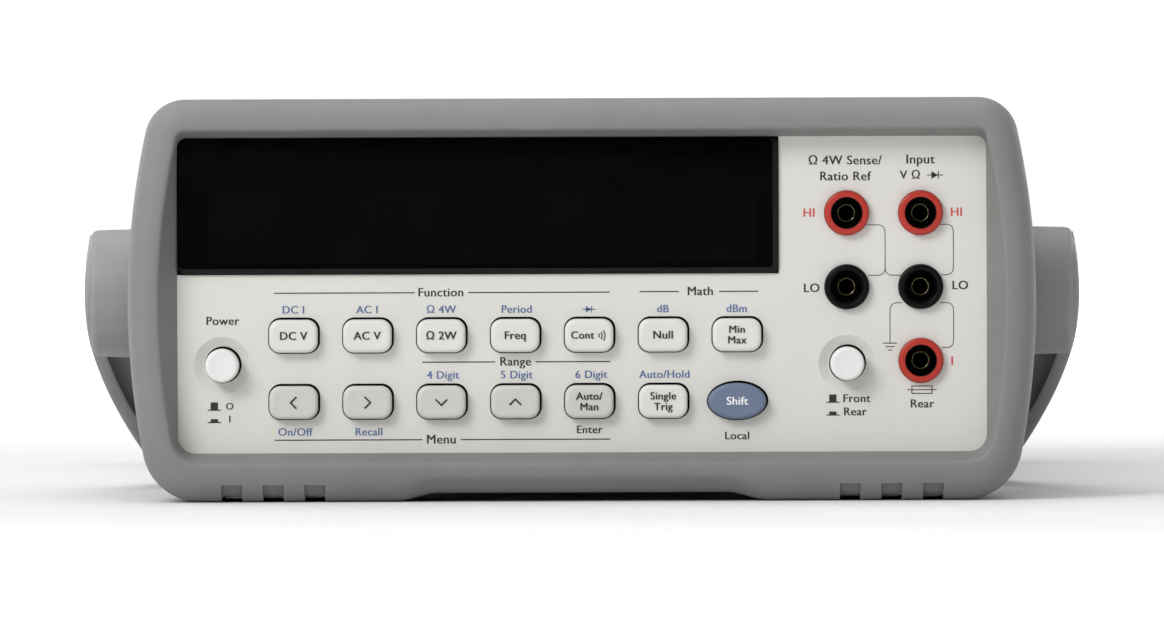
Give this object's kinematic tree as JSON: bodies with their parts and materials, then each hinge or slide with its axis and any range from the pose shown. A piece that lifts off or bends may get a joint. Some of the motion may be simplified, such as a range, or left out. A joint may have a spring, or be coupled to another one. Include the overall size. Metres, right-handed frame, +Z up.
{
  "type": "bench multimeter",
  "caption": "Half-width bench multimeter: metal case between grey rubber bumpers, swinging handle, dark display window, keypad, and red and black jacks.",
  "frame": {"origin": "centre of the footprint, on the bench", "axes": "+X to the right seen from the front, +Y from the front panel to the rear, +Z up"},
  "size_m": [0.261, 0.374, 0.1038],
  "materials": {
    "rubber_grey": "satin mid grey",
    "cover_paint": "light grey paint over sheet",
    "panel_plastic": "fine matte",
    "window": "gloss black",
    "tube_glass": "clear",
    "board": "solder mask",
    "mat_rubber": "matte",
    "key_light": "fine matte",
    "key_grey": "fine matte",
    "key_blue": "fine matte",
    "button_white": "satin",
    "black_plastic": "satin black",
    "red_plastic": "satin red",
    "brass": "bright",
    "plated_metal": "nickel plate",
    "sheet_metal": "zinc plate",
    "winding": "taped copper",
    "capacitor": "satin",
    "cable": "matte",
    "handle_plastic": "satin mid grey"
  },
  "bodies": {
    "case": {"front_bumper": "rubber_grey", "rear_bumper": "rubber_grey", "cover": "cover_paint", "front_panel": "panel_plastic", "jack_plate": "panel_plastic", "display_window": "window", "display_tube": "tube_glass", "front_board": "board", "key_mat": "mat_rubber", "power_switch": "black_plastic", "input_switch": "black_plastic", "front_jack_bodies": "black_plastic", "front_jack_collars": "red_plastic", "front_jack_contacts": "brass", "rear_panel": "panel_plastic", "rear_jack_bodies": "black_plastic", "rear_jack_collars": "red_plastic", "rear_jack_contacts": "brass", "mains_inlet": "black_plastic", "mains_pins": "brass", "input_fuse_holder": "black_plastic", "bnc_connectors": "plated_metal", "bus_connector": "plated_metal", "serial_connector": "plated_metal", "jackscrews": "plated_metal", "ground_screw": "brass", "cover_screws": "plated_metal", "chassis": "sheet_metal", "main_board": "board", "board_components": "black_plastic", "transformer_core": "sheet_metal", "transformer_winding": "winding", "filter_capacitors": "capacitor", "heat_sink": "capacitor", "input_shield": "sheet_metal", "ribbon_cable": "cable", "handle_pivots": "handle_plastic"},
    "carrying_handle": {"handle": "handle_plastic"},
    "power_push": {"power_button": "button_white", "power_rod": "button_white"},
    "input_push": {"input_button": "button_white", "input_rod": "button_white"},
    "fuse_drawer": {"line_fuse_drawer": "black_plastic", "line_fuse": "tube_glass"},
    "fuse_cap": {"input_fuse_cap": "black_plastic", "input_fuse": "tube_glass"},
    "key_dc_volts_cap": {"key_dc_volts": "key_light"},
    "key_ac_volts_cap": {"key_ac_volts": "key_light"},
    "key_ohms_cap": {"key_ohms": "key_light"},
    "key_frequency_cap": {"key_frequency": "key_light"},
    "key_continuity_cap": {"key_continuity": "key_light"},
    "key_null_cap": {"key_null": "key_light"},
    "key_min_max_cap": {"key_min_max": "key_light"},
    "key_left_cap": {"key_left": "key_grey"},
    "key_right_cap": {"key_right": "key_grey"},
    "key_down_cap": {"key_down": "key_grey"},
    "key_up_cap": {"key_up": "key_grey"},
    "key_range_cap": {"key_range": "key_grey"},
    "key_trigger_cap": {"key_trigger": "key_light"},
    "key_shift_cap": {"key_shift": "key_blue"}
  },
  "joints": [
    {"name": "handle_swing", "type": "hinge", "parent": "case", "child": "carrying_handle", "pos_m": [0, -0.126, 0.05325], "axis": [1, 0, 0], "range_deg": [-290, 0]},
    {"name": "power_press", "type": "slide", "parent": "case", "child": "power_push", "axis": [0, 1, 0], "range_m": [0, 0.003], "stiffness_N_per_m": 300, "springref_m": -0.002},
    {"name": "input_press", "type": "slide", "parent": "case", "child": "input_push", "axis": [0, 1, 0], "range_m": [0, 0.003], "stiffness_N_per_m": 300, "springref_m": -0.002},
    {"name": "fuse_drawer_slide", "type": "slide", "parent": "case", "child": "fuse_drawer", "axis": [0, 1, 0], "range_m": [0, 0.02]},
    {"name": "fuse_cap_turn", "type": "hinge", "parent": "case", "child": "fuse_cap", "pos_m": [0.0683, 0.1693, 0.0359], "axis": [0, 1, 0], "range_deg": [0, 60]},
    {"name": "press_dc_volts", "type": "slide", "parent": "case", "child": "key_dc_volts_cap", "axis": [0, 1, 0], "range_m": [0, 0.001], "stiffness_N_per_m": 800, "springref_m": -0.001},
    {"name": "press_ac_volts", "type": "slide", "parent": "case", "child": "key_ac_volts_cap", "axis": [0, 1, 0], "range_m": [0, 0.001], "stiffness_N_per_m": 800, "springref_m": -0.001},
    {"name": "press_ohms", "type": "slide", "parent": "case", "child": "key_ohms_cap", "axis": [0, 1, 0], "range_m": [0, 0.001], "stiffness_N_per_m": 800, "springref_m": -0.001},
    {"name": "press_frequency", "type": "slide", "parent": "case", "child": "key_frequency_cap", "axis": [0, 1, 0], "range_m": [0, 0.001], "stiffness_N_per_m": 800, "springref_m": -0.001},
    {"name": "press_continuity", "type": "slide", "parent": "case", "child": "key_continuity_cap", "axis": [0, 1, 0], "range_m": [0, 0.001], "stiffness_N_per_m": 800, "springref_m": -0.001},
    {"name": "press_null", "type": "slide", "parent": "case", "child": "key_null_cap", "axis": [0, 1, 0], "range_m": [0, 0.001], "stiffness_N_per_m": 800, "springref_m": -0.001},
    {"name": "press_min_max", "type": "slide", "parent": "case", "child": "key_min_max_cap", "axis": [0, 1, 0], "range_m": [0, 0.001], "stiffness_N_per_m": 800, "springref_m": -0.001},
    {"name": "press_left", "type": "slide", "parent": "case", "child": "key_left_cap", "axis": [0, 1, 0], "range_m": [0, 0.001], "stiffness_N_per_m": 800, "springref_m": -0.001},
    {"name": "press_right", "type": "slide", "parent": "case", "child": "key_right_cap", "axis": [0, 1, 0], "range_m": [0, 0.001], "stiffness_N_per_m": 800, "springref_m": -0.001},
    {"name": "press_down", "type": "slide", "parent": "case", "child": "key_down_cap", "axis": [0, 1, 0], "range_m": [0, 0.001], "stiffness_N_per_m": 800, "springref_m": -0.001},
    {"name": "press_up", "type": "slide", "parent": "case", "child": "key_up_cap", "axis": [0, 1, 0], "range_m": [0, 0.001], "stiffness_N_per_m": 800, "springref_m": -0.001},
    {"name": "press_range", "type": "slide", "parent": "case", "child": "key_range_cap", "axis": [0, 1, 0], "range_m": [0, 0.001], "stiffness_N_per_m": 800, "springref_m": -0.001},
    {"name": "press_trigger", "type": "slide", "parent": "case", "child": "key_trigger_cap", "axis": [0, 1, 0], "range_m": [0, 0.001], "stiffness_N_per_m": 800, "springref_m": -0.001},
    {"name": "press_shift", "type": "slide", "parent": "case", "child": "key_shift_cap", "axis": [0, 1, 0], "range_m": [0, 0.001], "stiffness_N_per_m": 800, "springref_m": -0.001}
  ]
}
